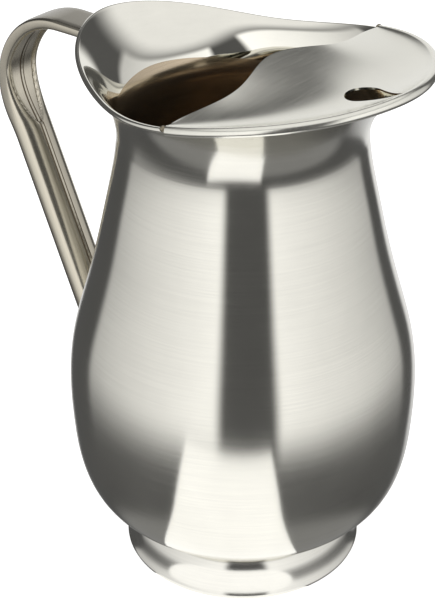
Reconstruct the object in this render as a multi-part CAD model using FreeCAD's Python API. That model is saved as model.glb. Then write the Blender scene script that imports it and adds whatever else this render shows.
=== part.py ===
import FreeCAD, Part
import math
import os
from FreeCAD import Vector

# Two-quart stainless bell pitcher with an ice guard. Millimetres, +Z up, origin at the centre of the
# foot's resting circle. The spout points to +X, the handle to -X, and Y = 0 is the mirror plane.

# ---- Sheet and body -------------------------------------------------------------------------------
WALL = 0.9                # sheet thickness of body and foot
STATIONS = 32             # points on each ring of the body skin
FLOOR_Z = 15.4            # underside of the pitcher's floor
FLOOR_RADIUS = 22.0       # flat part of the floor
NECK_RADIUS = 48.2
NECK_Z = 190.0
ENVELOPE_TOP = 250.0      # above everything
BODY_OUTLINE = [          # (radius, height) of the outer skin, floor to neck
    (FLOOR_RADIUS, FLOOR_Z), (33.0, 15.9), (41.5, 18.1), (52.5, 23.6), (61.4, 31.6), (66.9, 44.0),
    (69.4, 62.0), (70.0, 80.0), (68.2, 99.0), (63.4, 118.0), (57.6, 140.0), (52.6, 163.0), (49.3, 180.0),
    (NECK_RADIUS, NECK_Z),
]
BODY_RINGS = 24           # rings of the skin between floor and neck
FLARE_RINGS = 6           # rings of the skin between neck and rim

# ---- Mouth: half of the rim, from the spout tip round one side to the handle -----------------------
RIM_HALF = [
    (78.5, 0.0, 230.9), (69.8, 25.4, 228.5), (42.3, 50.4, 223.2), (10.3, 57.9, 216.3),
    (-27.6, 47.9, 210.9), (-64.7, 23.5, 214.7), (-74.8, 0.0, 216.5),
]
LIP_RISE = 38.0           # slope of the flare where it meets the rim, degrees above level
BEAD_RADIUS = 1.1         # rolled edge of the mouth
BEAD_TURN = 280.0         # degrees the edge is rolled, from the drink side over the top and under
BEAD_RINGS = 10

# ---- Foot ring ------------------------------------------------------------------------------------
FOOT_RADIUS = 48.8        # at the table
FOOT_OUTLINE = [(FOOT_RADIUS, 1.2), (47.5, 5.5), (46.8, 12.0), (45.4, 15.4), (42.6, 17.4)]
FOOT_LAND = 2.2           # how far the lower edge is turned in
FOOT_ROUND = 0.6          # bevel round the lower edge
FOOT_WELD = 1.5           # leg of the fillet between foot and bowl

# ---- Ice guard ------------------------------------------------------------------------------------
GUARD_WALL = 0.8
GUARD_REACH = 0.218       # share of the rim, each way from the spout tip, that the guard covers
GUARD_COLUMNS = 33
GUARD_ROWS = 9            # rows from the free edge to the rolled edge
GUARD_EDGE = (15.0, 226.3)  # free edge on the mirror plane, (x, z)
GUARD_BOW = 6.7           # how far the free edge bows towards the spout half way to each side
GUARD_FALL = 15.0         # how steeply the guard leaves its free edge, downwards
CORNER_GAP = 2.0          # free edge stops this far inside the rim
HEM_START = 5.0           # turn round the rolled edge where the guard first touches it
HEM_END = 165.0
HEM_ROWS = 7
HEM_GAP = 0.05
HOLE_X = 59.0             # centre of the pour hole
HOLE_RADIUS = 7.0
HOLE_TIP_X = 77.0         # where the hole runs out towards the spout tip
TACK_RADIUS = 1.2
TACK_SHARE = GUARD_REACH + 0.0026
TACK_TURN = 70.0

# ---- Handle: its back line is a strap, a bend, a straight leg and a turn in to the body -----------
HANDLE_WIDTH = 17.3
HANDLE_WALL = 1.0
STRAP_LENGTH = 32.0
STRAP_HEADING = 184.0     # degrees in the X-Z plane: away from the body and slightly down
BEND_CENTRE = (-93.5, 166.3)
BEND_RADIUS = 41.5
BEND_TURN = 111.7
LEG_LENGTH = 84.5
TURN_RADIUS = 34.0
TURN_ANGLE = 50.0
HANDLE_END = 9.0          # straight run into the body wall before it is trimmed
STRAP_DEPTH = 4.6
BEND_DEPTH = 6.7
LEG_DEPTH = 14.0
STRAP_POWER = 4.6         # superellipse power: squarish strap
LEG_POWER = 2.0           # and an oval tube
PRESS_DEPTH = 0.9         # hollow pressed in the inner face round the bend
DEEPEN = (15.0, 80.0)     # stretch of the back line where the strap thickens
OPEN_OUT = (78.0, 120.0)  # stretch where the strap opens out to the tube
PRESSED = (25.0, 45.0, 84.0, 104.0)
HANDLE_RINGS = 34
SECTION_POINTS = 28
SEAM_START = 30.0
SEAM_STOP = 11.7          # before the tube's inner end, where the seam meets the body
SEAM_WIDTH = 1.0
SEAM_PROUD = 0.25
WELD_SIZE = 1.4           # width and height of the beads where the handle meets the body


def smooth(value, low, high):
    """0 below low, 1 above high, with an S-curve between."""
    t = min(1.0, max(0.0, (value - low) / (high - low)))
    return t * t * (3.0 - 2.0 * t)


def hermite(start, leave, end, arrive, t):
    """Point at t on the cubic from start to end with the given end tangents."""
    return (start * (2 * t**3 - 3 * t**2 + 1) + leave * (t**3 - 2 * t**2 + t)
            + end * (3 * t**2 - 2 * t**3) + arrive * (t**3 - t**2))


def curve_through(points, closed=False):
    """Smooth curve through points."""
    curve = Part.BSplineCurve()
    curve.interpolate(Points=points, PeriodicFlag=closed)
    return curve


def even_curve(points, closed):
    """Smooth curve through points at equal parameter steps, so that neighbours can be woven together."""
    count = len(points) if closed else len(points) - 1
    curve = Part.BSplineCurve()
    curve.interpolate(Points=points, PeriodicFlag=closed, Parameters=[i / count for i in range(count + 1)])
    return curve


def woven(grid, closed):
    """One smooth surface through rows of points; closed rows are rings."""
    rows = [even_curve(points, closed) for points in grid]
    gaps = [sum((p - q).Length for p, q in zip(low, high)) for low, high in zip(grid, grid[1:])]
    steps = [sum(gaps[:i]) / sum(gaps) for i in range(len(grid))]
    columns = []
    for poles in zip(*[row.getPoles() for row in rows]):
        column = Part.BSplineCurve()
        column.interpolate(Points=list(poles), Parameters=steps)
        columns.append(column)
    row, column = rows[0], columns[0]
    surface = Part.BSplineSurface()
    surface.buildFromPolesMultsKnots(
        [line.getPoles() for line in columns], row.getMultiplicities(), column.getMultiplicities(),
        row.getKnots(), column.getKnots(), closed, False, row.Degree, column.Degree)
    return surface


def ring(points):
    """Closed smooth wire through a ring of points, in two halves."""
    curve = even_curve(points, True)
    return Part.Wire([curve.toShape(0.0, 0.5), curve.toShape(0.5, 1.0)])


def skin(rings):
    """Two half-round faces of one smooth surface through a stack of rings."""
    surface = woven(rings, True)
    return [surface.toShape(0.0, 0.5, 0.0, 1.0), surface.toShape(0.5, 1.0, 0.0, 1.0)]


def capped(rings):
    """Solid skinned through a stack of rings with flat ends."""
    ends = [Part.Face(ring(rings[0])), Part.Face(ring(rings[-1]))]
    return sealed(skin(rings) + ends)


def sealed(faces):
    """Solid closed by faces that share their edges."""
    shape = Part.Compound(faces)
    shape.sewShape(0.01)
    solid = Part.makeSolid(shape.Shells[0])
    if solid.Volume < 0:
        solid.reverse()
    return solid


def largest(shape):
    """The biggest solid of a boolean's result."""
    return max(shape.Solids, key=lambda solid: solid.Volume)


# ---- The body's skin as a function of station and height ------------------------------------------
def rim_curve():
    mirrored = [(x, -y, z) for x, y, z in reversed(RIM_HALF[1:-1])]
    return curve_through([Vector(*p) for p in RIM_HALF + mirrored], closed=True)


RIM = rim_curve()
OUTLINE = curve_through([Vector(r, 0, z) for r, z in BODY_OUTLINE])


def rim_at(share):
    """Rim point at a share of the way round, starting at the spout tip."""
    first, last = RIM.FirstParameter, RIM.LastParameter
    return RIM.value(first + (last - first) * (share % 1.0))


def flare_point(share, rise):
    """Point of the flare between neck (rise 0) and rim (rise 1)."""
    end = rim_at(share)
    angle = math.atan2(end.y, end.x)
    out = Vector(math.cos(angle), math.sin(angle), 0)
    start = out * NECK_RADIUS + Vector(0, 0, NECK_Z)
    reach = (end - start).Length
    slope = math.radians(LIP_RISE)
    arrive = (out * math.cos(slope) + Vector(0, 0, math.sin(slope))) * reach
    return hermite(start, Vector(0, 0, reach), end, arrive, rise)


def skin_point(share, level):
    """Outer skin: level 0 at the floor's edge, 1 at the neck, 2 at the rim."""
    if level > 1.0:
        return flare_point(share, level - 1.0)
    first, last = OUTLINE.FirstParameter, OUTLINE.LastParameter
    p = OUTLINE.value(first + (last - first) * level)
    end = rim_at(share)
    angle = math.atan2(end.y, end.x)
    return Vector(p.x * math.cos(angle), p.x * math.sin(angle), p.z)


def skin_normal(share, level):
    """Unit normal of the outer skin, pointing away from the drink."""
    step = 1e-3
    low, high = max(0.0, level - step), min(2.0, level + step)
    up = skin_point(share, high) - skin_point(share, low)
    along = skin_point(share + step, level) - skin_point(share - step, level)
    return along.cross(up).normalize()


def flat_ring(points, z):
    return [Vector(p.x, p.y, z) for p in points]


def offset_ring(level, distance):
    """Ring of points parallel to the skin at one level."""
    shares = [i / STATIONS for i in range(STATIONS)]
    return [skin_point(s, level) + skin_normal(s, level) * distance for s in shares]


def body_rings(distance):
    """Rings parallel to the skin from the flat floor's edge up to the rim."""
    levels = [i / BODY_RINGS for i in range(BODY_RINGS)]
    levels += [1.0 + i / FLARE_RINGS for i in range(FLARE_RINGS + 1)]
    rings = [offset_ring(level, distance) for level in levels]
    rings[0] = flat_ring(rings[0], FLOOR_Z - distance)
    return rings


def bead_frame(share):
    """Centre of the rolled edge with its outward and upward directions."""
    normal = skin_normal(share, 2.0)
    up = (skin_point(share, 2.0) - skin_point(share, 1.99)).normalize()
    middle = skin_point(share, 2.0) + normal * (BEAD_RADIUS - WALL)
    return middle, normal, up


def bead_point(share, turn, radius):
    """Point round the rolled edge: turn 0 on the drink side, 90 on top, 180 outside."""
    middle, normal, up = bead_frame(share)
    a = math.radians(turn)
    return middle - normal * (radius * math.cos(a)) + up * (radius * math.sin(a))


# ---- Pieces ---------------------------------------------------------------------------------------
def body_shell():
    """Floor, bell, neck, flare and rolled edge in one drawn sheet."""
    outer = body_rings(0.0)
    inner = body_rings(-WALL)
    shares = [i / STATIONS for i in range(STATIONS)]
    turns = [i * BEAD_TURN / (BEAD_RINGS - 1) for i in range(BEAD_RINGS)]
    bead = [[bead_point(s, turn, BEAD_RADIUS) for s in shares] for turn in turns]
    inner[-1] = bead[0]
    outer[-1] = bead[-1]
    floors = [Part.Face(ring(outer[0])), Part.Face(ring(inner[0]))]
    return sealed(skin(outer) + skin(inner) + skin(bead) + floors)


def envelope(distance):
    """Everything inside the outer skin moved out by a distance, carried straight up past the rim."""
    rings = body_rings(distance)
    top = ring(flat_ring(rings[-1], ENVELOPE_TOP))
    side = Part.makeLoft([ring(rings[-1]), top], False, True).Faces
    return sealed(skin(rings) + side + [Part.Face(ring(rings[0])), Part.Face(top)])


def turned(points):
    """Solid of revolution from a closed list of (radius, height) corners."""
    corners = [Vector(r, 0, z) for r, z in points]
    face = Part.Face(Part.makePolygon(corners + corners[:1]))
    return face.revolve(Vector(0, 0, 0), Vector(0, 0, 1), 360)


def parallel(curve, distance, count):
    """Points beside a curve of the X-Z plane, on its left."""
    first, last = curve.FirstParameter, curve.LastParameter
    points = []
    for i in range(count):
        u = first + (last - first) * i / (count - 1)
        along = curve.tangent(u)[0]
        points.append(curve.value(u) + Vector(-along.z, 0, along.x) * distance)
    return points


def foot_ring():
    """Short spun ring with a rounded shoulder, its lower edge turned in to make the resting land."""
    outer = curve_through([Vector(r, 0, z) for r, z in FOOT_OUTLINE])
    inner = curve_through(parallel(outer, WALL, len(FOOT_OUTLINE)))
    edge_z = FOOT_OUTLINE[0][1]
    low = [(FOOT_RADIUS - FOOT_LAND, edge_z), (FOOT_RADIUS - FOOT_LAND, 0.0), (FOOT_RADIUS - FOOT_ROUND, 0.0)]
    low = [inner.StartPoint] + [Vector(r, 0, z) for r, z in low] + [outer.StartPoint]
    top = Part.makeLine(outer.EndPoint, inner.EndPoint)
    wire = Part.Wire([outer.toShape(), top, inner.toShape()] + Part.makePolygon(low).Edges)
    return Part.Face(wire).revolve(Vector(0, 0, 0), Vector(0, 0, 1), 360)


def foot_weld(bowl):
    """Fillet of solder between the top of the foot and the bowl."""
    r, z = FOOT_OUTLINE[-1]
    corners = [(r - 0.4, z - WALL), (r, z), (r + FOOT_WELD, z + 0.1), (r + 0.3, z + FOOT_WELD),
               (r - FOOT_WELD, z + 0.6)]
    return largest(turned(corners).cut(bowl))


def guard_column(side, lift):
    """Points from the free edge to the end of the hem; side runs -1 to 1, lift is off the mid-sheet."""
    share = side * GUARD_REACH
    radius = BEAD_RADIUS + HEM_GAP + GUARD_WALL / 2.0 + lift
    touch = bead_point(share, HEM_START, radius)
    corner = bead_point(GUARD_REACH, HEM_START, radius)
    fullness = (1.0 - side * side) ** 1.6
    edge_x, edge_z = GUARD_EDGE
    edge = Vector(edge_x + (corner.x - edge_x) * side * side + GUARD_BOW * math.sin(math.pi * side) ** 2,
                  (corner.y - CORNER_GAP) * side,
                  corner.z + (edge_z + lift - corner.z) * fullness)
    reach = (touch - edge).Length
    leave = (touch - edge) - Vector(0, 0, GUARD_FALL * fullness)
    step = bead_point(share, HEM_START + 1.0, radius) - bead_point(share, HEM_START - 1.0, radius)
    arrive = step.normalize() * reach
    rows = [hermite(edge, leave, touch, arrive, i / GUARD_ROWS) for i in range(GUARD_ROWS)]
    turns = [HEM_START + (HEM_END - HEM_START) * i / (HEM_ROWS - 1) for i in range(HEM_ROWS)]
    return rows + [bead_point(share, turn, radius) for turn in turns]


def pour_hole():
    """Upright teardrop prism that opens the guard near the spout tip."""
    reach = HOLE_TIP_X - HOLE_X
    touch = math.acos(HOLE_RADIUS / reach)
    upper = Vector(HOLE_X + HOLE_RADIUS * math.cos(touch), HOLE_RADIUS * math.sin(touch), 200)
    lower = Vector(upper.x, -upper.y, 200)
    tip = Vector(HOLE_TIP_X, 0, 200)
    arc = Part.Arc(upper, Vector(HOLE_X - HOLE_RADIUS, 0, 200), lower).toShape()
    wire = Part.Wire([arc, Part.makeLine(lower, tip), Part.makeLine(tip, upper)])
    return Part.Face(wire).extrude(Vector(0, 0, 60))


def ice_guard():
    """Dished sheet over the spout half of the mouth, its border hemmed over the rolled edge."""
    sides = [-1.0 + 2.0 * i / (GUARD_COLUMNS - 1) for i in range(GUARD_COLUMNS)]
    faces = []
    for lift in (GUARD_WALL / 2.0, -GUARD_WALL / 2.0):
        columns = [guard_column(side, lift) for side in sides]
        faces.append(woven([list(row) for row in zip(*columns)], False))
    top, under = faces
    u0, u1, v0, v1 = top.bounds()
    rims = [(top.uIso(u), under.uIso(u)) for u in (u0, u1)]
    rims += [(top.vIso(v), under.vIso(v)) for v in (v0, v1)]
    walls = [Part.makeRuledSurface(a.toShape(), b.toShape()) for a, b in rims]
    return sealed([top.toShape(), under.toShape()] + walls).cut(pour_hole())


def tack(side, body):
    """Weld spot on the rolled edge, against the end of the guard's hem."""
    spot = Part.makeSphere(TACK_RADIUS, bead_point(side * TACK_SHARE, TACK_TURN, BEAD_RADIUS))
    return largest(spot.cut(body))


# ---- Handle ---------------------------------------------------------------------------------------
def ahead(heading):
    """Unit vector in the X-Z plane."""
    a = math.radians(heading)
    return Vector(math.cos(a), 0, math.sin(a))


def on_bend(heading, centre, radius):
    """Point of a bend, centre (x, z), where the line runs at a heading."""
    a = math.radians(heading - 90.0)
    return Vector(centre[0] + radius * math.cos(a), 0, centre[1] + radius * math.sin(a))


def back_line(distance):
    """Point and heading of the handle's back at a distance from the strap's inner end."""
    leg_heading = STRAP_HEADING + BEND_TURN
    bend_length = BEND_RADIUS * math.radians(BEND_TURN)
    bend_start = on_bend(STRAP_HEADING, BEND_CENTRE, BEND_RADIUS)
    if distance < STRAP_LENGTH:
        return bend_start + ahead(STRAP_HEADING) * (distance - STRAP_LENGTH), STRAP_HEADING
    distance -= STRAP_LENGTH
    if distance < bend_length:
        heading = STRAP_HEADING + math.degrees(distance / BEND_RADIUS)
        return on_bend(heading, BEND_CENTRE, BEND_RADIUS), heading
    distance -= bend_length
    leg_start = on_bend(leg_heading, BEND_CENTRE, BEND_RADIUS)
    if distance < LEG_LENGTH:
        return leg_start + ahead(leg_heading) * distance, leg_heading
    distance -= LEG_LENGTH
    leg_end = leg_start + ahead(leg_heading) * LEG_LENGTH
    centre = leg_end + ahead(leg_heading + 90.0) * TURN_RADIUS
    turn_length = TURN_RADIUS * math.radians(TURN_ANGLE)
    heading = leg_heading + math.degrees(min(distance, turn_length) / TURN_RADIUS)
    point = on_bend(heading, (centre.x, centre.z), TURN_RADIUS)
    return point + ahead(heading) * max(0.0, distance - turn_length), heading


def handle_length():
    bends = BEND_RADIUS * math.radians(BEND_TURN) + TURN_RADIUS * math.radians(TURN_ANGLE)
    return STRAP_LENGTH + bends + LEG_LENGTH + HANDLE_END


def handle_depth(distance):
    deeper = (BEND_DEPTH - STRAP_DEPTH) * smooth(distance, *DEEPEN)
    return STRAP_DEPTH + deeper + (LEG_DEPTH - BEND_DEPTH) * smooth(distance, *OPEN_OUT)


def press(distance):
    """Depth of the hollow pressed in the inner face."""
    return PRESS_DEPTH * smooth(distance, *PRESSED[:2]) * (1.0 - smooth(distance, *PRESSED[2:]))


def handle_ring(distance, grow):
    """Section of the handle: a rounded strap that opens out to an oval tube."""
    back, heading = back_line(distance)
    inward = ahead(heading + 90.0)
    depth = handle_depth(distance)
    power = STRAP_POWER + (LEG_POWER - STRAP_POWER) * smooth(distance, *OPEN_OUT)
    half_width, half_depth = HANDLE_WIDTH / 2.0 + grow, depth / 2.0 + grow
    points = []
    for i in range(SECTION_POINTS):
        a = 2.0 * math.pi * i / SECTION_POINTS
        across = math.copysign(abs(math.cos(a)) ** (2.0 / power), math.cos(a))
        deep = math.copysign(abs(math.sin(a)) ** (2.0 / power), math.sin(a))
        sink = press(distance) * (1.0 - across * across) if deep > 0 else 0.0
        points.append(back + inward * (depth / 2.0 + half_depth * deep - sink)
                      + Vector(0, half_width * across, 0))
    return points


def handle_solid(grow):
    step = handle_length() / (HANDLE_RINGS - 1)
    return capped([handle_ring(i * step, grow) for i in range(HANDLE_RINGS)])


def seam_strip():
    """Weld that closes the tube along the middle of its inner face."""
    length = handle_length() - SEAM_STOP - SEAM_START
    rings = []
    for i in range(HANDLE_RINGS):
        distance = SEAM_START + length * i / (HANDLE_RINGS - 1)
        back, heading = back_line(distance)
        inward = ahead(heading + 90.0)
        face = handle_depth(distance) - press(distance)
        high, low = face + SEAM_PROUD, face - HANDLE_WALL - 0.2
        points = []
        for k in range(8):
            a = math.radians(45.0 * k + 22.5)
            depth = (high + low) / 2.0 + (high - low) / 2.0 * math.sin(a)
            points.append(back + inward * depth + Vector(0, SEAM_WIDTH / 2.0 * math.cos(a), 0))
        rings.append(points)
    return capped(rings)


def write(name, shape):
    shape.exportStep("parts/" + name + ".step")


def main():
    os.makedirs("parts", exist_ok=True)
    inside = envelope(0.0)
    body = body_shell()
    full = handle_solid(0.0)
    seam = seam_strip()
    tube = largest(full.cut(handle_solid(-HANDLE_WALL)).cut(inside).cut(seam))
    collar = handle_solid(WELD_SIZE).common(envelope(WELD_SIZE)).cut(inside).cut(full).cut(seam)
    beads = sorted(collar.Solids, key=lambda bead: bead.BoundBox.ZMax)
    write("body_shell", body)
    write("foot_ring", foot_ring())
    write("foot_weld", foot_weld(inside))
    write("ice_guard", ice_guard())
    write("guard_tack_near", tack(-1.0, body))
    write("guard_tack_far", tack(1.0, body))
    write("handle_tube", tube)
    write("handle_seam", seam)
    write("handle_weld_low", beads[0])
    write("handle_weld_top", beads[-1])



main()
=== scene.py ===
import math
from collections import namedtuple

import bmesh
import bpy
import numpy as np
from mathutils import Matrix, Vector


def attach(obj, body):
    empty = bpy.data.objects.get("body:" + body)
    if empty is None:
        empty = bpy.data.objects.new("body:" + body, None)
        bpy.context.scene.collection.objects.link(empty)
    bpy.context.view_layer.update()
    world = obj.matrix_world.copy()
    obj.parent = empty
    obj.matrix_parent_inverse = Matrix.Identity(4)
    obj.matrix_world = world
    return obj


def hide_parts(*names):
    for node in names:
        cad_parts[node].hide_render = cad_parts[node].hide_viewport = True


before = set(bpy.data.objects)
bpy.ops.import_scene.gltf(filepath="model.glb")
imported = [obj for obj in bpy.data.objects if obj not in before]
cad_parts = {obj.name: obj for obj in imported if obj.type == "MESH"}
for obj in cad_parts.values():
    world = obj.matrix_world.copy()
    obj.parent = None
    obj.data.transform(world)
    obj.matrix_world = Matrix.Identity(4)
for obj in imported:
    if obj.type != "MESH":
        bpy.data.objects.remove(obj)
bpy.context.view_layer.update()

MM = 0.001

# ---- Dimensions of the pitcher, in millimetres, as in the CAD model --------------------------------
WALL = 0.9
FLOOR_Z = 15.4
FLOOR_RADIUS = 22.0
NECK_RADIUS = 48.2
NECK_Z = 190.0
BODY_OUTLINE = [
    (FLOOR_RADIUS, FLOOR_Z), (33.0, 15.9), (41.5, 18.1), (52.5, 23.6), (61.4, 31.6), (66.9, 44.0),
    (69.4, 62.0), (70.0, 80.0), (68.2, 99.0), (63.4, 118.0), (57.6, 140.0), (52.6, 163.0), (49.3, 180.0),
    (NECK_RADIUS, NECK_Z),
]
RIM_HALF = [
    (78.5, 0.0, 230.9), (69.8, 25.4, 228.5), (42.3, 50.4, 223.2), (10.3, 57.9, 216.3),
    (-27.6, 47.9, 210.9), (-64.7, 23.5, 214.7), (-74.8, 0.0, 216.5),
]
LIP_RISE = 38.0
BEAD_RADIUS = 1.1
BEAD_TURN = 280.0

FOOT_RADIUS = 48.8
FOOT_OUTLINE = [(FOOT_RADIUS, 1.2), (47.5, 5.5), (46.8, 12.0), (45.4, 15.4), (42.6, 17.4)]
FOOT_LAND = 2.2
FOOT_ROUND = 0.6
FOOT_WELD = 1.5

GUARD_WALL = 0.8
GUARD_REACH = 0.218
GUARD_EDGE = (15.0, 226.3)
GUARD_BOW = 6.7
GUARD_FALL = 15.0
CORNER_GAP = 2.0
HEM_START = 5.0
HEM_END = 165.0
HEM_GAP = 0.05
HOLE_X = 59.0
HOLE_RADIUS = 7.0
HOLE_TIP_X = 77.0
TACK_RADIUS = 1.2
TACK_SHARE = GUARD_REACH + 0.0026
TACK_TURN = 70.0

HANDLE_WIDTH = 17.3
STRAP_LENGTH = 32.0
STRAP_HEADING = 184.0
BEND_CENTRE = (-93.5, 166.3)
BEND_RADIUS = 41.5
BEND_TURN = 111.7
LEG_LENGTH = 84.5
TURN_RADIUS = 34.0
TURN_ANGLE = 50.0
HANDLE_END = 9.0
STRAP_DEPTH = 4.6
BEND_DEPTH = 6.7
LEG_DEPTH = 14.0
STRAP_POWER = 4.6
LEG_POWER = 2.0
DEEPEN = (15.0, 80.0)
OPEN_OUT = (78.0, 120.0)
SECTION_POINTS = 28
SEAM_START = 30.0
SEAM_STOP = 11.7


# ---- Curves -----------------------------------------------------------------------------------------
class Curve:
    """Smooth cubic curve through points; parameters run from 0 to 1."""

    def __init__(self, points, closed=False, even=False):
        points = np.array(points, float)
        self.closed = closed
        if closed:
            points = np.vstack([points, points[:1]])
        gaps = np.linalg.norm(np.diff(points, axis=0), axis=1)
        if even:
            gaps = np.ones(len(gaps))
        self.knots = np.concatenate([[0.0], np.cumsum(gaps)]) / gaps.sum()
        self.points = points
        self.slopes = self._closed_slopes() if closed else self._open_slopes()

    def _rows(self):
        h = np.diff(self.knots)
        rise = np.diff(self.points, axis=0) / h[:, None]
        return h, rise

    def _closed_slopes(self):
        h, rise = self._rows()
        n = len(h)
        matrix = np.zeros((n, n))
        right = np.zeros((n, self.points.shape[1]))
        for i in range(n):
            before = (i - 1) % n
            matrix[i, before] += h[i]
            matrix[i, i] += 2.0 * (h[before] + h[i])
            matrix[i, (i + 1) % n] += h[before]
            right[i] = 3.0 * (h[i] * rise[before] + h[before] * rise[i])
        slopes = np.linalg.solve(matrix, right)
        return np.vstack([slopes, slopes[:1]])

    def _end_slope(self, knots, points):
        fit = np.polyfit(knots - knots[0], points, len(knots) - 1)
        return fit[-2]

    def _open_slopes(self):
        h, rise = self._rows()
        n = len(self.points)
        matrix = np.eye(n)
        right = np.zeros((n, self.points.shape[1]))
        ends = min(4, n)
        right[0] = self._end_slope(self.knots[:ends], self.points[:ends])
        right[-1] = self._end_slope(self.knots[::-1][:ends], self.points[::-1][:ends])
        for i in range(1, n - 1):
            matrix[i, i - 1:i + 2] = h[i], 2.0 * (h[i - 1] + h[i]), h[i - 1]
            right[i] = 3.0 * (h[i] * rise[i - 1] + h[i - 1] * rise[i])
        return np.linalg.solve(matrix, right)

    def at(self, u):
        u = np.asarray(u, float)
        u = u % 1.0 if self.closed else np.clip(u, 0.0, 1.0)
        i = np.clip(np.searchsorted(self.knots, u, side="right") - 1, 0, len(self.knots) - 2)
        h = self.knots[i + 1] - self.knots[i]
        t = ((u - self.knots[i]) / h)[..., None]
        h = h[..., None]
        return hermite(self.points[i], self.slopes[i] * h, self.points[i + 1], self.slopes[i + 1] * h, t)


def hermite(start, leave, end, arrive, t):
    return (start * (2 * t**3 - 3 * t**2 + 1) + leave * (t**3 - 2 * t**2 + t)
            + end * (3 * t**2 - 2 * t**3) + arrive * (t**3 - t**2))


def smooth(value, low, high):
    t = np.clip((value - low) / (high - low), 0.0, 1.0)
    return t * t * (3.0 - 2.0 * t)


def unit(vectors):
    return vectors / np.linalg.norm(vectors, axis=-1, keepdims=True)


# ---- Body skin --------------------------------------------------------------------------------------
RIM = Curve(RIM_HALF + [(x, -y, z) for x, y, z in reversed(RIM_HALF[1:-1])], closed=True)
OUTLINE = Curve(BODY_OUTLINE)


def skin_point(share, level):
    """Outer skin: level 0 at the floor's edge, 1 at the neck, 2 at the rim."""
    share, level = np.broadcast_arrays(np.asarray(share, float), np.asarray(level, float))
    end = RIM.at(share)
    angle = np.arctan2(end[..., 1], end[..., 0])
    out = np.stack([np.cos(angle), np.sin(angle), np.zeros_like(angle)], -1)
    up = np.array([0.0, 0.0, 1.0])
    low = OUTLINE.at(np.clip(level, 0.0, 1.0))
    below = out * low[..., :1] + up * low[..., 1:]
    start = out * NECK_RADIUS + up * NECK_Z
    reach = np.linalg.norm(end - start, axis=-1, keepdims=True)
    slope = math.radians(LIP_RISE)
    arrive = (out * math.cos(slope) + up * math.sin(slope)) * reach
    above = hermite(start, up * reach, end, arrive, np.clip(level - 1.0, 0.0, 1.0)[..., None])
    return np.where((level > 1.0)[..., None], above, below)


def skin_normal(share, level):
    step = 1e-3
    low, high = np.maximum(0.0, level - step), np.minimum(2.0, level + step)
    up = skin_point(share, high) - skin_point(share, low)
    along = skin_point(share + step, level) - skin_point(share - step, level)
    return unit(np.cross(along, up))


def bead_point(share, turn, radius):
    """Point round the rolled edge: turn 0 on the drink side, 90 on top, 180 outside."""
    share = np.asarray(share, float)
    two = np.full_like(share, 2.0)
    normal = skin_normal(share, two)
    up = unit(skin_point(share, two) - skin_point(share, two - 0.01))
    middle = skin_point(share, two) + normal * (BEAD_RADIUS - WALL)
    a = np.radians(np.asarray(turn, float))[..., None]
    return middle - normal * (radius * np.cos(a)) + up * (radius * np.sin(a))


# ---- Mesh helpers -----------------------------------------------------------------------------------
def mesh_object(name, points, faces, slots=None, sharp=35.0):
    """Mesh object from points in millimetres, shaded smooth except at edges sharper than an angle."""
    mesh = bpy.data.meshes.new(name)
    mesh.from_pydata([tuple(p) for p in np.asarray(points) * MM], [], faces)
    if slots is not None:
        mesh.polygons.foreach_set("material_index", slots)
    mesh.validate()
    work = bmesh.new()
    work.from_mesh(mesh)
    bmesh.ops.recalc_face_normals(work, faces=work.faces)
    for edge in work.edges:
        if len(edge.link_faces) == 2:
            edge.smooth = edge.calc_face_angle(0.0) < math.radians(sharp)
    for face in work.faces:
        face.smooth = True
    work.to_mesh(mesh)
    work.free()
    piece = bpy.data.objects.new(name, mesh)
    bpy.context.scene.collection.objects.link(piece)
    return piece


def ring_stack(rings, start_pole=None, end_pole=None):
    """Points and faces of a tube through rings of equal size, closed at either end by a pole point."""
    rings = np.asarray(rings)
    count, size = rings.shape[:2]
    points = rings.reshape(-1, 3)
    faces = []
    for i in range(count - 1):
        for k in range(size):
            n = (k + 1) % size
            faces.append((i * size + k, i * size + n, (i + 1) * size + n, (i + 1) * size + k))
    for pole, row in ((start_pole, 0), (end_pole, count - 1)):
        if pole is not None:
            tip = len(points)
            points = np.vstack([points, [pole]])
            for k in range(size):
                faces.append((row * size + k, row * size + (k + 1) % size, tip))
    return points, faces


def place(piece, slot, *nodes):
    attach(piece, "root")
    if nodes:
        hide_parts(*nodes)
    return piece


# ---- Body -------------------------------------------------------------------------------------------
BODY_STATIONS = 224
BODY_LEVELS = 90
FLARE_LEVELS = 44
BEAD_STEPS = 20
POLISH_LEVEL = 1.26       # mirror polish starts a little above the neck on the inside


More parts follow.
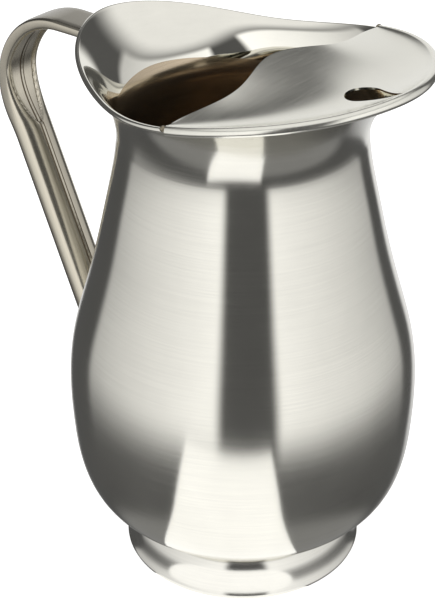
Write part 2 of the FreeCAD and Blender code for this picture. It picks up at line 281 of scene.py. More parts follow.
def build_body():
    shares = np.arange(BODY_STATIONS) / BODY_STATIONS
    levels = np.concatenate([np.linspace(0.0, 1.0, BODY_LEVELS, endpoint=False),
                             np.linspace(1.0, 2.0, FLARE_LEVELS)])

    def skin(distance):
        rows = []
        for level in levels:
            at = np.full_like(shares, level)
            row = skin_point(shares, at) + skin_normal(shares, at) * distance
            rows.append(row)
        rows[0][:, 2] = FLOOR_Z - distance
        return rows

    def floor_rows(row):
        middle = np.array([0.0, 0.0, row[0, 2]])
        return [middle + (row - middle) * part for part in (0.15, 0.4, 0.65, 0.85)]

    outer, inner = skin(0.0), skin(-WALL)
    turns = np.linspace(BEAD_TURN, 0.0, BEAD_STEPS)
    bead = [bead_point(shares, np.full_like(shares, turn), BEAD_RADIUS) for turn in turns]
    under = floor_rows(outer[0]) + outer[:-1]
    inside = (floor_rows(inner[0]) + inner[:-1])[::-1]
    rings = under + bead + inside
    low_pole = np.array([0.0, 0.0, FLOOR_Z])
    high_pole = np.array([0.0, 0.0, FLOOR_Z + WALL])
    points, faces = ring_stack(rings, low_pole, high_pole)
    polished = int(np.searchsorted(levels, POLISH_LEVEL))
    bead_first = len(under) - 1
    inside_first = len(under) + len(bead) - 1
    dull_first = inside_first + (len(levels) - 1 - polished)
    slots = []
    for row in range(len(rings) - 1):
        if row < bead_first:
            slot = 0
        elif row < dull_first:
            slot = 1
        else:
            slot = 2
        slots += [slot] * BODY_STATIONS
    slots += [0] * BODY_STATIONS + [2] * BODY_STATIONS
    return mesh_object("body", points, faces, slots)


# ---- Foot -------------------------------------------------------------------------------------------
def spun(name, profile, stations=160):
    """Ring of revolution from a closed list of (radius, height) points."""
    profile = np.asarray(profile)
    angles = 2.0 * math.pi * np.arange(stations) / stations
    points = np.array([[(r * math.cos(a), r * math.sin(a), z) for r, z in profile] for a in angles])
    size = len(profile)
    faces = []
    for i in range(stations):
        j = (i + 1) % stations
        for k in range(size):
            n = (k + 1) % size
            faces.append((i * size + k, j * size + k, j * size + n, i * size + n))
    return mesh_object(name, points.reshape(-1, 3), faces)


def build_foot():
    outline = Curve(FOOT_OUTLINE)
    outer = outline.at(np.linspace(0.0, 1.0, 28))
    along = unit(np.gradient(outer, axis=0))
    inner = outer + np.stack([-along[:, 1], along[:, 0]], -1) * WALL
    edge_z = FOOT_OUTLINE[0][1]
    low = [(FOOT_RADIUS - FOOT_LAND, edge_z), (FOOT_RADIUS - FOOT_LAND, 0.0), (FOOT_RADIUS - FOOT_ROUND, 0.0),
           (FOOT_RADIUS - 0.25, 0.2), (FOOT_RADIUS - 0.05, 0.7)]
    return spun("foot", list(outer) + list(inner[::-1]) + low)


def build_foot_weld():
    r, z = FOOT_OUTLINE[-1]
    wall = OUTLINE.at(np.linspace(0.0, 0.4, 200))
    touch_low = wall[np.argmin(np.abs(wall[:, 0] - (r - 1.2)))]
    touch_high = wall[np.argmin(np.abs(wall[:, 0] - (r + FOOT_WELD)))]
    hollow = [(touch_high[0] * (1 - t) + r * t - 0.3 * math.sin(math.pi * t) * 0.5,
               touch_high[1] * (1 - t) + z * t + 0.25 * math.sin(math.pi * t)) for t in np.linspace(0, 1, 6)]
    corners = hollow + [(r - 0.4, z - 0.6), (touch_low[0], touch_low[1] - 0.02)]
    return spun("foot_fillet", corners)


# ---- Ice guard --------------------------------------------------------------------------------------
GUARD_ACROSS = 260
GUARD_DOWN = 120
HEM_STEPS = 16


def guard_point(side, row, lift):
    """Sheet point: side -1 to 1 across, row 0 at the free edge, 1 at the rolled edge, 2 at the hem's end."""
    share = side * GUARD_REACH
    radius = BEAD_RADIUS + HEM_GAP + GUARD_WALL / 2.0 + lift
    start = np.full_like(share, HEM_START)
    touch = bead_point(share, start, radius)
    corner = bead_point(np.array([GUARD_REACH]), np.array([HEM_START]), radius)[0]
    fullness = np.clip(1.0 - side * side, 0.0, 1.0) ** 1.6
    edge_x, edge_z = GUARD_EDGE
    edge = np.stack([
        edge_x + (corner[0] - edge_x) * side**2 + GUARD_BOW * np.sin(math.pi * side) ** 2,
        (corner[1] - CORNER_GAP) * side,
        corner[2] + (edge_z + lift - corner[2]) * fullness], -1)
    reach = np.linalg.norm(touch - edge, axis=-1, keepdims=True)
    down = np.stack([np.zeros_like(side), np.zeros_like(side), GUARD_FALL * fullness], -1)
    leave = (touch - edge) - down
    arrive = unit(bead_point(share, start + 1.0, radius) - bead_point(share, start - 1.0, radius)) * reach
    sheet = hermite(edge, leave, touch, arrive, np.clip(row, 0.0, 1.0)[..., None])
    turn = HEM_START + (HEM_END - HEM_START) * np.clip(row - 1.0, 0.0, 1.0)
    return np.where((row > 1.0)[..., None], bead_point(share, turn, radius), sheet)


def inside_hole(x, y):
    """Positive inside the teardrop pour hole, in millimetres from its edge."""
    reach = HOLE_TIP_X - HOLE_X
    lean = math.asin(HOLE_RADIUS / reach)
    round_part = HOLE_RADIUS - np.hypot(x - HOLE_X, y)
    touch_x = HOLE_X + HOLE_RADIUS * math.sin(lean)
    flank = (HOLE_TIP_X - x) * math.sin(lean) - np.abs(y) * math.cos(lean)
    return np.where(x > touch_x, flank, round_part)


def build_guard():
    sides = np.linspace(-1.0, 1.0, GUARD_ACROSS + 1)
    rows = np.concatenate([np.linspace(0.0, 1.0, GUARD_DOWN, endpoint=False),
                           np.linspace(1.0, 2.0, HEM_STEPS)])
    side, row = np.meshgrid(sides, rows)
    shape = side.shape
    lift = GUARD_WALL / 2.0

    def layer(side, row, lift):
        return guard_point(side.ravel(), row.ravel(), lift)

    top = layer(side, row, lift)
    inside = inside_hole(top[:, 0], top[:, 1])
    grid_uv = np.stack([side.ravel(), row.ravel()], -1)
    cut = {}

    def crossing(a, b):
        """Number of the new point where the grid's line from a to b meets the hole's edge."""
        key = (a, b) if inside[a] < 0 else (b, a)
        return cut.setdefault(key, len(grid_uv) + len(cut))

    faces = []
    height, width = shape
    for i in range(height - 1):
        for k in range(width - 1):
            corners = [i * width + k, i * width + k + 1, (i + 1) * width + k + 1, (i + 1) * width + k]
            gone = [inside[c] >= 0 for c in corners]
            if not any(gone):
                faces.append(corners)
                continue
            if all(gone):
                continue
            loop = []
            for n in range(4):
                a, b = corners[n], corners[(n + 1) % 4]
                if not gone[n]:
                    loop.append(a)
                if gone[n] != gone[(n + 1) % 4]:
                    loop.append(crossing(a, b))
            faces.append(loop)
    near = np.array([grid_uv[a] for a, b in cut])
    far = np.array([grid_uv[b] for a, b in cut])
    for _ in range(14):
        middle = (near + far) / 2.0
        spot = guard_point(middle[:, 0], middle[:, 1], lift)
        gone = (inside_hole(spot[:, 0], spot[:, 1]) >= 0)[:, None]
        near, far = np.where(gone, near, middle), np.where(gone, middle, far)
    uv = np.vstack([grid_uv, near])
    top = guard_point(uv[:, 0], uv[:, 1], lift)
    under = guard_point(uv[:, 0], uv[:, 1], -lift)
    count = len(uv)
    edges = {}
    for face in faces:
        for n in range(len(face)):
            a, b = face[n], face[(n + 1) % len(face)]
            edges[(a, b)] = True
    walls = [(b, a, a + count, b + count) for a, b in edges if (b, a) not in edges]
    lower = [tuple(c + count for c in reversed(face)) for face in faces]
    used = [tuple(face) for face in faces] + lower + walls
    points = np.vstack([top, under])
    keep = np.zeros(len(points), bool)
    for face in used:
        keep[list(face)] = True
    number = np.cumsum(keep) - 1
    used = [tuple(int(number[c]) for c in face) for face in used]
    return mesh_object("guard", points[keep], used, sharp=30.0)


def build_tack(name, side):
    share = np.array([side * TACK_SHARE])
    middle = bead_point(share, np.array([TACK_TURN]), BEAD_RADIUS)[0]
    work = bmesh.new()
    bmesh.ops.create_icosphere(work, subdivisions=4, radius=TACK_RADIUS)
    points = []
    for vert in work.verts:
        way = vert.co.normalized()
        swell = 1.0 + 0.05 * math.sin(5.0 * way.x + 2.0) * math.cos(4.0 * way.y)
        points.append(middle + np.array(vert.co) * swell)
    faces = [tuple(v.index for v in face.verts) for face in work.faces]
    work.free()
    return mesh_object(name, points, faces)


# ---- Handle -----------------------------------------------------------------------------------------
def ahead(heading):
    a = np.radians(heading)
    return np.stack([np.cos(a), np.zeros_like(a), np.sin(a)], -1)


def on_bend(heading, centre, radius):
    return np.array([centre[0], 0.0, centre[1]]) + ahead(heading - 90.0) * radius


def back_line(distance):
    """Points and headings of the handle's back at distances from the strap's inner end."""
    distance = np.asarray(distance, float)
    leg_heading = STRAP_HEADING + BEND_TURN
    bend_length = BEND_RADIUS * math.radians(BEND_TURN)
    strap = np.minimum(distance, STRAP_LENGTH) - STRAP_LENGTH
    bent = np.clip(distance - STRAP_LENGTH, 0.0, bend_length)
    leg = np.clip(distance - STRAP_LENGTH - bend_length, 0.0, LEG_LENGTH)
    past = np.maximum(0.0, distance - STRAP_LENGTH - bend_length - LEG_LENGTH)
    turned = np.minimum(past, TURN_RADIUS * math.radians(TURN_ANGLE))
    heading = STRAP_HEADING + np.degrees(bent / BEND_RADIUS + turned / TURN_RADIUS)
    start = np.array(STRAP_HEADING)
    point = on_bend(STRAP_HEADING + np.degrees(bent / BEND_RADIUS), BEND_CENTRE, BEND_RADIUS)
    point = point + ahead(start) * strap[..., None] + ahead(np.array(leg_heading)) * leg[..., None]
    inward = ahead(np.array(leg_heading + 90.0)) * TURN_RADIUS
    point = point + inward + ahead(leg_heading + np.degrees(turned / TURN_RADIUS) - 90.0) * TURN_RADIUS
    return point + ahead(heading) * (past - turned)[..., None], heading


HANDLE_LENGTH = (STRAP_LENGTH + BEND_RADIUS * math.radians(BEND_TURN)
                 + TURN_RADIUS * math.radians(TURN_ANGLE) + LEG_LENGTH + HANDLE_END)


def handle_depth(distance):
    deeper = (BEND_DEPTH - STRAP_DEPTH) * smooth(distance, *DEEPEN)
    return STRAP_DEPTH + deeper + (LEG_DEPTH - BEND_DEPTH) * smooth(distance, *OPEN_OUT)


# The pressed recess in the inner face: a shallow flat-floored channel with a crisp edge, which ends in
# a rounded tongue at the seam.
RECESS_START = 26.0
RECESS_TONGUE = 80.0      # where the channel starts to narrow
RECESS_END = 116.0
RECESS_WIDTH = 0.80       # half width as a share of the handle's
RECESS_EDGE = 0.07        # width of the step
RECESS_DEPTH = 1.2
RECESS_LEAD_IN = 16.0     # distance over which it sinks to full depth
RECESS_TAPER = 1.7        # how bluntly the tongue ends


def recess(distance, across):
    """Depth of the recess at distances along the handle and shares of its half width across."""
    start = smooth(distance, RECESS_START, RECESS_START + RECESS_LEAD_IN)
    along = np.clip((distance - RECESS_TONGUE) / (RECESS_END - RECESS_TONGUE), 0.0, 1.0)
    width = RECESS_WIDTH * np.sqrt(1.0 - along**RECESS_TAPER)
    step = smooth(width - np.abs(across), 0.0, RECESS_EDGE)
    return RECESS_DEPTH * start * step * (along < 1.0)


SECTION_STEPS = 176
SECTION_POWERS = 60       # sections between the oval tube and the flat strap
HANDLE_RINGS = 400
END_RING = 6              # the handle's direction at an end is taken from this many rings in
TOP_SEARCH = 20.0         # the handle meets the flare within this distance of its start
LOW_SEARCH = 40.0         # and the bell within this distance of its end


def unit_sections():
    """Unit superellipse sections of the handle for evenly spaced powers from tube to strap."""
    a = 2.0 * math.pi * np.arange(SECTION_POINTS) / SECTION_POINTS
    sections = []
    for power in np.linspace(LEG_POWER, STRAP_POWER, SECTION_POWERS):
        across = np.sign(np.cos(a)) * np.abs(np.cos(a)) ** (2.0 / power)
        deep = np.sign(np.sin(a)) * np.abs(np.sin(a)) ** (2.0 / power)
        section = Curve(np.stack([across, deep], -1), closed=True, even=True)
        sections.append(section.at(np.arange(SECTION_STEPS) / SECTION_STEPS))
    return np.array(sections)


SECTIONS = unit_sections()


def handle_point(distance, column):
    """Points of the handle's surface at distances along it and numbered columns round it."""
    distance, column = np.broadcast_arrays(np.asarray(distance, float), column)
    back, heading = back_line(distance)
    depth = handle_depth(distance)
    squareness = (1.0 - smooth(distance, *OPEN_OUT)) * (SECTION_POWERS - 1)
    low = np.clip(squareness.astype(int), 0, SECTION_POWERS - 2)
    part = (squareness - low)[..., None]
    section = SECTIONS[low, column] * (1.0 - part) + SECTIONS[low + 1, column] * part
    across, deep = section[..., 0], section[..., 1]
    sink = np.where(deep > 0.0, recess(distance, across), 0.0)
    level = depth / 2.0 * (1.0 + deep) - sink
    point = back + ahead(heading + 90.0) * level[..., None]
    point[..., 1] += HANDLE_WIDTH / 2.0 * across
    return point


def skin_radius(points):
    """Radius of the body's outer skin at each point's height and direction."""
    angle = np.arctan2(points[:, 1], points[:, 0]) % (2.0 * math.pi)
    low, high = np.zeros(len(points)), np.ones(len(points))
    for _ in range(30):
        middle = (low + high) / 2.0
        at = RIM.at(middle)
        short = np.arctan2(at[:, 1], at[:, 0]) % (2.0 * math.pi) < angle
        low, high = np.where(short, middle, low), np.where(short, high, middle)
    share = low
    low, high = np.zeros(len(points)), np.full(len(points), 2.0)
    for _ in range(30):
        middle = (low + high) / 2.0
        short = skin_point(share, middle)[:, 2] < points[:, 2]
        low, high = np.where(short, middle, low), np.where(short, high, middle)
    at = skin_point(share, low)
    return np.hypot(at[:, 0], at[:, 1])


def meeting(outside, inside):
    """Distance along each of the handle's lines where it passes through the body's skin."""
    columns = np.arange(SECTION_STEPS)
    outside = np.full(SECTION_STEPS, float(outside))
    inside = np.full(SECTION_STEPS, float(inside))
    for _ in range(16):
        middle = (outside + inside) / 2.0
        at = handle_point(middle, columns)
        out = np.hypot(at[:, 0], at[:, 1]) > skin_radius(at)
        outside, inside = np.where(out, middle, outside), np.where(out, inside, middle)
    return (outside + inside) / 2.0


def build_handle():
    """Handle from its meeting with the flare to its meeting with the bell, and the two meeting lines."""
    start = meeting(TOP_SEARCH, 0.0)
    end = meeting(HANDLE_LENGTH - LOW_SEARCH, HANDLE_LENGTH)
    share = np.linspace(0.0, 1.0, HANDLE_RINGS)[:, None]
    rings = handle_point(start * (1.0 - share) + end * share, np.arange(SECTION_STEPS)[None, :])
    points, faces = ring_stack(rings, rings[0].mean(axis=0), rings[-1].mean(axis=0))
    ends = [(rings[0], unit(rings[END_RING].mean(axis=0) - rings[0].mean(axis=0))),
            (rings[-1], unit(rings[-1 - END_RING].mean(axis=0) - rings[-1].mean(axis=0)))]
    return mesh_object("handle", points, faces, sharp=40.0), *ends


BEAD_LIFT = 0.60          # clear of the far side of the body's wall
WELD_RADIUS = 1.1
WELD_STATIONS = 160
WELD_SIDES = 12


def build_bead(name, end, radius, phase):
    """Weld bead laid round the handle's end, slightly uneven like a dressed weld."""
    loop = end[0] + BEAD_LIFT * end[1]
    line = Curve(loop[::4], closed=True)
    middle = line.at(np.arange(WELD_STATIONS) / WELD_STATIONS)
    along = unit(np.roll(middle, -1, axis=0) - np.roll(middle, 1, axis=0))
    centre = loop.mean(axis=0)
    out = unit(middle - centre - along * ((middle - centre) * along).sum(-1, keepdims=True))
    side = np.cross(along, out)
    rings = []
    for i in range(WELD_STATIONS):
        swell = radius * (1.0 + 0.07 * math.sin(i * 0.9 + phase) + 0.05 * math.sin(i * 2.3))
        a = 2.0 * math.pi * np.arange(WELD_SIDES) / WELD_SIDES
        rings.append(middle[i] + swell * (np.cos(a)[:, None] * out[i] + np.sin(a)[:, None] * side[i]))
    rings = np.array(rings)
    points = rings.reshape(-1, 3)
    faces = []
    for i in range(WELD_STATIONS):
        j = (i + 1) % WELD_STATIONS
        for k in range(WELD_SIDES):
            n = (k + 1) % WELD_SIDES
            faces.append((i * WELD_SIDES + k, i * WELD_SIDES + n, j * WELD_SIDES + n, j * WELD_SIDES + k))
    return mesh_object(name, points, faces)


# Half of the seam's cross section: distance from the middle and height above the face.
SEAM_EDGE = ((0.45, 0.16), (0.55, 0.05), (1.05, 0.05), (1.15, -0.35))
SEAM_FLOOR = -0.6
SEAM_RINGS = 300
SEAM_RIPPLE = 0.02


def build_seam():
    """Dressed weld along the middle of the inner face: a low bead with a fine stripe on each side, painted
    near-black as the shade of a groove.
    """
    length = HANDLE_LENGTH - SEAM_STOP - SEAM_START
    half = [(y, z) for y, z in SEAM_EDGE]
    outer = half[-1][0]
    outline = [(-y, z) for y, z in reversed(half)] + half + [(outer, SEAM_FLOOR), (-outer, SEAM_FLOOR)]
    rings = []
    for distance in SEAM_START + length * np.linspace(0.0, 1.0, SEAM_RINGS):
        back, heading = back_line(distance)
        inward = ahead(heading + 90.0)
        ripple = SEAM_RIPPLE * math.sin(distance * 5.1) + SEAM_RIPPLE * math.sin(distance * 2.3 + 1.0)
        ring = []
        for y, z in outline:
            face = handle_depth(distance) - recess(distance, 2.0 * y / HANDLE_WIDTH)
            ring.append(back + inward * (face + z + ripple * (z > 0.1)) + np.array([0.0, y, 0.0]))
        rings.append(ring)
    rings = np.array(rings)
    points, faces = ring_stack(rings, rings[0].mean(axis=0), rings[-1].mean(axis=0))
    size = len(outline)
    crest = len(half) - 1
    # Only the crest takes the handle's steel; the stripes beside it and the sides take the near-black painted
    # shade.
    slots = [0 if i < len(rings) * size - size and i % size == crest else 1 for i in range(len(faces))]
    return mesh_object("seam", points, faces, slots, sharp=40.0)


# ---- Materials --------------------------------------------------------------------------------------
def node(tree, kind, inputs=None, **settings):
    """New node with its settings and either values or links for its inputs."""
    new = tree.nodes.new(kind)
    for key, value in settings.items():
        setattr(new, key, value)
    for key, value in (inputs or {}).items():
        if isinstance(value, bpy.types.NodeSocket):
            tree.links.new(value, new.inputs[key])
        else:
            new.inputs[key].default_value = value
    return new


def grain(tree, scale, detail=4.0, roughness=0.6):
    """Noise in the object's own coordinates, with its own scale along each axis, per metre."""
    place_at = node(tree, "ShaderNodeTexCoord").outputs["Object"]
    stretched = node(tree, "ShaderNodeMapping", {"Vector": place_at, "Scale": scale}).outputs["Vector"]
    noise = node(tree, "ShaderNodeTexNoise",
                 {"Vector": stretched, "Scale": 1.0, "Detail": detail, "Roughness": roughness})
    return noise.outputs["Fac"]


def spread(tree, value, low, high, start=0.25, end=0.75):
    """Value mapped from a noise's usual range to low..high."""
    new = node(tree, "ShaderNodeMapRange", {"Value": value, "From Min": start, "From Max": end,
                                            "To Min": low, "To Max": high})
    return new.outputs["Result"]


def steel(name, tint, rough, brush, anisotropic=0.0, streak=0.05, wander=0.05, bump=0.05, smudge=0.04,
          upright=False, metal=1.0, upward_shade=0.0):
    """Steel with brush lines, smudges, worn edges and an optional painted shade on upward faces; brush is the
    grain's scale along X, Y and Z.
    """
    material = bpy.data.materials.new(name)
    material.use_nodes = True
    tree = material.node_tree
    tree.nodes.clear()
    lines = grain(tree, brush, 5.0, 0.7)
    fine = grain(tree, tuple(3.1 * v for v in brush), 2.0, 0.5)
    cloud = grain(tree, (34.0, 34.0, 26.0), 4.0, 0.6)
    both = node(tree, "ShaderNodeMath", {0: lines, 1: fine}, operation="ADD").outputs[0]
    both = node(tree, "ShaderNodeMath", {0: both, 1: 0.5}, operation="MULTIPLY").outputs[0]
    worn = node(tree, "ShaderNodeNewGeometry").outputs["Pointiness"]
    worn = spread(tree, worn, 0.0, 1.0, 0.51, 0.6)
    shade = spread(tree, both, 1.0 - streak, 1.0 + streak)
    stain = spread(tree, cloud, 1.0 - smudge, 1.0 + smudge)
    shade = node(tree, "ShaderNodeMath", {0: shade, 1: stain}, operation="MULTIPLY").outputs[0]
    # Painted shade: faces that turn upward are darkened, by up to the given share, standing in for the dim
    # reflections they show.
    if upward_shade:
        surface = node(tree, "ShaderNodeNewGeometry").outputs["Normal"]
        facing_up = node(tree, "ShaderNodeSeparateXYZ", {0: surface})
        upward_shading = spread(tree, facing_up.outputs["Z"], 1.0, 1.0 - upward_shade, 0.35, 0.95)
        shade = node(tree, "ShaderNodeMath", {0: shade, 1: upward_shading}, operation="MULTIPLY").outputs[0]
    colour = node(tree, "ShaderNodeVectorMath", {0: tint, "Scale": shade}, operation="SCALE").outputs[0]
    gloss = spread(tree, both, rough - wander, rough + wander)
    haze = spread(tree, cloud, -0.5 * wander, 0.5 * wander)
    gloss = node(tree, "ShaderNodeMath", {0: gloss, 1: haze}, operation="ADD").outputs[0]
    edge = node(tree, "ShaderNodeMath", {0: worn, 1: -0.35 * rough}, operation="MULTIPLY").outputs[0]
    gloss = node(tree, "ShaderNodeMath", {0: gloss, 1: edge}, operation="ADD", use_clamp=True).outputs[0]
    normal = node(tree, "ShaderNodeBump", {"Height": both, "Strength": bump, "Distance": 0.0004})
    shader = node(tree, "ShaderNodeBsdfPrincipled",
                  {"Base Color": colour, "Roughness": gloss, "Normal": normal.outputs["Normal"]})
    shader.inputs["Metallic"].default_value = metal
    if anisotropic:
        shader.inputs["Anisotropic"].default_value = anisotropic
        facing = node(tree, "ShaderNodeNewGeometry").outputs["Normal"]
        axis = (0.0, 1.0, 0.0) if upright else (0.0, 0.0, 1.0)
        tangent = node(tree, "ShaderNodeVectorMath", {0: facing, 1: axis}, operation="CROSS_PRODUCT")
        tree.links.new(tangent.outputs[0], shader.inputs["Tangent"])
        shader.inputs["Anisotropic Rotation"].default_value = 0.0 if upright else 0.25
    out = node(tree, "ShaderNodeOutputMaterial")
    tree.links.new(shader.outputs[0], out.inputs["Surface"])
    return material


brushed = steel("brushed_body", (0.750, 0.735, 0.672), 0.155, (12.0, 12.0, 2600.0), 0.8, 0.08, 0.03, 0.005)
mirror = steel("mirror_flare", (0.868, 0.850, 0.775), 0.05, (30.0, 30.0, 260.0), 0.0, 0.02, 0.015, 0.001)
dull = steel("inside", (0.58, 0.48, 0.35), 0.20, (14.0, 14.0, 900.0), 0.0, 0.15, 0.06, 0.02, metal=0.95)
foot_steel = steel("brushed_foot", (0.750, 0.735, 0.680), 0.155, (12.0, 12.0, 2600.0), 0.8, 0.07, 0.03, 0.005)
satin = steel("satin_guard", (0.825, 0.812, 0.738), 0.22, (500.0, 26.0, 26.0), 0.0, 0.03, 0.03, 0.005)
# The handle's upward faces, above all its top strap, carry painted shade.
strap = steel("satin_handle", (0.635, 0.590, 0.490), 0.22, (60.0, 1500.0, 60.0), 0.6, 0.07, 0.04, 0.01, 0.05,
              upright=True, upward_shade=0.55)
# Near-black painted shade for the seam's stripes beside the bead, standing in for the shade in its grooves.
seam_shade = steel("seam_painted_shade", (0.16, 0.13, 0.09), 0.40, (60.0, 1500.0, 60.0), 0.0, 0.10, 0.08, 0.02)
fillet_steel = steel("dressed_fillet", (0.72, 0.70, 0.65), 0.30, (60.0, 60.0, 900.0), 0.0, 0.05, 0.05, 0.02)
weld = steel("weld_metal", (0.30, 0.26, 0.19), 0.34, (400.0, 400.0, 400.0), 0.0, 0.10, 0.08, 0.10)

body = place(build_body(), "brushed_body", "body_shell")
for material in (brushed, mirror, dull):
    body.data.materials.append(material)
foot = place(build_foot(), "brushed_foot", "foot_ring")
foot.data.materials.append(foot_steel)
fillet = place(build_foot_weld(), "weld_metal", "foot_weld")
fillet.data.materials.append(fillet_steel)
guard = place(build_guard(), "satin_guard", "ice_guard")
guard.data.materials.append(satin)
for tack_name, side, cad_node in (("tack_near", -1.0, "guard_tack_near"),
                                  ("tack_far", 1.0, "guard_tack_far")):
    tack = place(build_tack(tack_name, side), "weld_metal", cad_node)
    tack.data.materials.append(weld)
handle, top_line, low_line = build_handle()
place(handle, "satin_handle", "handle_tube")
handle.data.materials.append(strap)
seam = place(build_seam(), "weld_metal", "handle_seam")
for material in (strap, seam_shade):
    seam.data.materials.append(material)
for bead_name, line, cad_node, phase in (("bead_top", top_line, "handle_weld_top", 0.0),
                                         ("bead_low", low_line, "handle_weld_low", 1.7)):
    bead = place(build_bead(bead_name, line, WELD_RADIUS, phase), "weld_metal", cad_node)
    bead.data.materials.append(weld)


# ---- Floor, light and camera -------------------------------------------------------------------------
FLOOR_REACH = 2.4         # flat part of the floor, before it curves up into the backdrop
COVE = 1.2
BACKDROP_HEIGHT = 3.0


def build_floor():
    """Pale floor that curves up into a plain backdrop all round and closes overhead."""
    profile = [(FLOOR_REACH * i / 6.0, 0.0) for i in range(1, 7)]
    for i in range(1, 9):
        a = math.pi / 2.0 * i / 8.0
        profile.append((FLOOR_REACH + COVE * math.sin(a), COVE * (1.0 - math.cos(a))))
    reach = FLOOR_REACH + COVE
    for i in range(1, 9):
        a = math.pi / 2.0 * i / 9.0
        profile.append((reach * math.cos(a), COVE + BACKDROP_HEIGHT * math.sin(a)))
    count = 96
    angles = 2.0 * math.pi * np.arange(count) / count
    rings = [[(r * math.cos(a), r * math.sin(a), z) for a in angles] for r, z in profile]
    points, faces = ring_stack(rings, (0.0, 0.0, 0.0), (0.0, 0.0, COVE + BACKDROP_HEIGHT))
    floor = mesh_object("floor", np.asarray(points) / MM, faces, sharp=80.0)
    floor.data.flip_normals()
    material = bpy.data.materials.new("pale_floor")
    material.use_nodes = True
    shader = material.node_tree.nodes["Principled BSDF"]
    shader.inputs["Base Color"].default_value = (0.88, 0.88, 0.88, 1.0)
    shader.inputs["Roughness"].default_value = 0.8
    shader.inputs["Emission Color"].default_value = (1.0, 1.0, 1.0, 1.0)
    shader.inputs["Emission Strength"].default_value = 0.75
    floor.data.materials.append(material)
    floor.visible_glossy = False
    floor.visible_shadow = False
    floor.visible_diffuse = False
    return floor


CAMERA_AZIMUTH = 44.30    # degrees round from -Y towards +X
CAMERA_ELEVATION = 32.11
CAMERA_ROLL = -0.39
CAMERA_DISTANCE = 0.8366
CAMERA_SHIFT = (-0.01009, 0.1138)   # of the aim point: sideways, and up from the floor
FOCAL_PIXELS = 2096.3
PICTURE_HEIGHT = 600


def build_camera():
    a, e = math.radians(CAMERA_AZIMUTH), math.radians(CAMERA_ELEVATION)
    back = Vector((math.sin(a) * math.cos(e), -math.cos(a) * math.cos(e), math.sin(e)))
    right = Vector((math.cos(a), math.sin(a), 0.0))
    up = back.cross(right)
    roll = math.radians(CAMERA_ROLL)
    aim = right * CAMERA_SHIFT[0] + Vector((0.0, 0.0, CAMERA_SHIFT[1]))
    turned_right = right * math.cos(roll) + up * math.sin(roll)
    turned_up = up * math.cos(roll) - right * math.sin(roll)
    data = bpy.data.cameras.new("camera")
    data.sensor_width = 36.0
    data.lens = FOCAL_PIXELS * data.sensor_width / PICTURE_HEIGHT
    data.clip_start = 0.05
    camera = bpy.data.objects.new("camera", data)
    bpy.context.scene.collection.objects.link(camera)
    turn = Matrix((turned_right, turned_up, back)).transposed().to_4x4()
    camera.matrix_world = Matrix.Translation(aim + back * CAMERA_DISTANCE) @ turn
    bpy.context.scene.camera = camera
    return camera


FACING = CAMERA_AZIMUTH - 90.0    # direction of the camera, degrees round from +X towards +Y

# The studio is a dark room with large soft panels. Bearings are degrees round from the camera's direction,
# positive on the picture's right, and elevations are degrees up. The camera looks in through the gap
# between the two sides.
ROOM = 0.09               # brightness of what lies between the panels
PANEL_EDGE = 4.0          # half the width of a panel's soft edge
LOWER_EDGE = 12.0         # the same at its lowest edge
Panel = namedtuple("Panel", "start stop lowest highest at_start at_stop")
PANELS = {                # start, stop, lowest, highest in degrees, then brightness at start and stop
    "table_glow": Panel(-180.0, 180.0, -130.0, -52.0, 0.25, 0.25),
    "left_side": Panel(-118.0, -16.0, -27.0, 40.0, 0.58, 1.27),
    "right_side": Panel(21.0, 126.0, -27.0, 40.0, 1.22, 0.58),
    "backdrop": Panel(150.0, 198.0, -40.0, 25.0, 0.90, 0.90),
    "top_light": Panel(-180.0, 180.0, 46.0, 100.0, 0.92, 0.92),
}
CARD_ENDS = (30.0, 240.0)                      # white card before the pitcher: its near and far end
CARD_SIDES = ((-36.0, 24.0), (-150.0, 62.0))   # its left and right edge at each end
CARD_LIGHT = 1.30


def around(tree, toward, bearing):
    """Coordinates of a direction, turned about Z so that the bearing lies along +X."""
    turned = node(tree, "ShaderNodeVectorRotate",
                  {"Vector": toward, "Angle": -math.radians(FACING + bearing)},
                  rotation_type="Z_AXIS").outputs["Vector"]
    return node(tree, "ShaderNodeSeparateXYZ", {0: turned}).outputs


def in_degrees(tree, operation, *values):
    """An inverse trigonometric operation's result, in degrees."""
    angle = node(tree, "ShaderNodeMath", dict(enumerate(values)), operation=operation).outputs[0]
    return node(tree, "ShaderNodeMath", {0: angle, 1: math.degrees(1.0)}, operation="MULTIPLY").outputs[0]


def ramp(tree, value, start, end, low=0.0, high=1.0, kind="SMOOTHSTEP"):
    return node(tree, "ShaderNodeMapRange", {"Value": value, "From Min": start, "From Max": end,
                                             "To Min": low, "To Max": high},
                interpolation_type=kind).outputs["Result"]


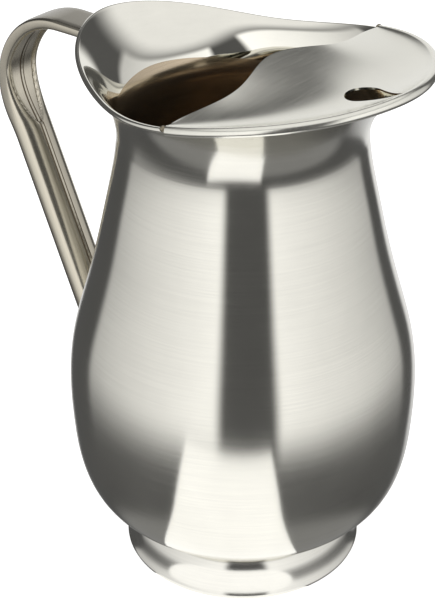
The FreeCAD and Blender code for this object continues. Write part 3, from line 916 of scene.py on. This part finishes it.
def lay_panel(tree, toward, below, panel):
    """The light below with one soft-edged panel laid over it."""
    half = (panel.stop - panel.start) / 2.0
    parts = around(tree, toward, panel.start + half)
    bearing = in_degrees(tree, "ARCTAN2", parts["Y"], parts["X"])
    level = in_degrees(tree, "ARCSINE", parts["Z"])
    cover = ramp(tree, level, panel.lowest - LOWER_EDGE, panel.lowest + LOWER_EDGE)
    for value, edge in ((level, panel.highest), (bearing, half)):
        inside = ramp(tree, value, edge - PANEL_EDGE, edge + PANEL_EDGE, 1.0, 0.0)
        cover = node(tree, "ShaderNodeMath", {0: cover, 1: inside}, operation="MULTIPLY").outputs[0]
    inside = ramp(tree, bearing, -half - PANEL_EDGE, -half + PANEL_EDGE)
    cover = node(tree, "ShaderNodeMath", {0: cover, 1: inside}, operation="MULTIPLY").outputs[0]
    light = ramp(tree, bearing, -half, half, panel.at_start, panel.at_stop, "LINEAR")
    return node(tree, "ShaderNodeMix", {0: cover, 2: below, 3: light}, data_type="FLOAT").outputs[0]


def build_world():
    world = bpy.data.worlds.new("studio")
    bpy.context.scene.world = world
    world.use_nodes = True
    tree = world.node_tree
    tree.nodes.clear()
    toward = node(tree, "ShaderNodeTexCoord").outputs["Generated"]
    total = ROOM
    for panel in PANELS.values():
        total = lay_panel(tree, toward, total, panel)
    light = node(tree, "ShaderNodeBackground", {"Color": total, "Strength": 1.0})
    out = node(tree, "ShaderNodeOutputWorld")
    tree.links.new(light.outputs[0], out.inputs["Surface"])


def build_card():
    """White card that the steel reflects from below: hidden from the camera, which sees the floor."""
    turn = math.radians(FACING)
    corners = [(end, side) for end, sides in zip(CARD_ENDS, CARD_SIDES) for side in sides]
    points = [(x * math.cos(turn) - y * math.sin(turn), x * math.sin(turn) + y * math.cos(turn), 0.0)
              for x, y in corners]
    card = mesh_object("table_card", points, [(0, 1, 3, 2)])
    material = bpy.data.materials.new("table_card")
    material.use_nodes = True
    tree = material.node_tree
    tree.nodes.clear()
    glow = node(tree, "ShaderNodeEmission", {"Color": (1.0, 1.0, 1.0, 1.0), "Strength": CARD_LIGHT})
    out = node(tree, "ShaderNodeOutputMaterial")
    tree.links.new(glow.outputs[0], out.inputs["Surface"])
    card.data.materials.append(material)
    card.visible_camera = False
    card.visible_shadow = False
    card.visible_diffuse = False
    return card


build_floor()
build_card()
build_camera()
build_world()
bpy.context.scene.view_settings.view_transform = "Standard"
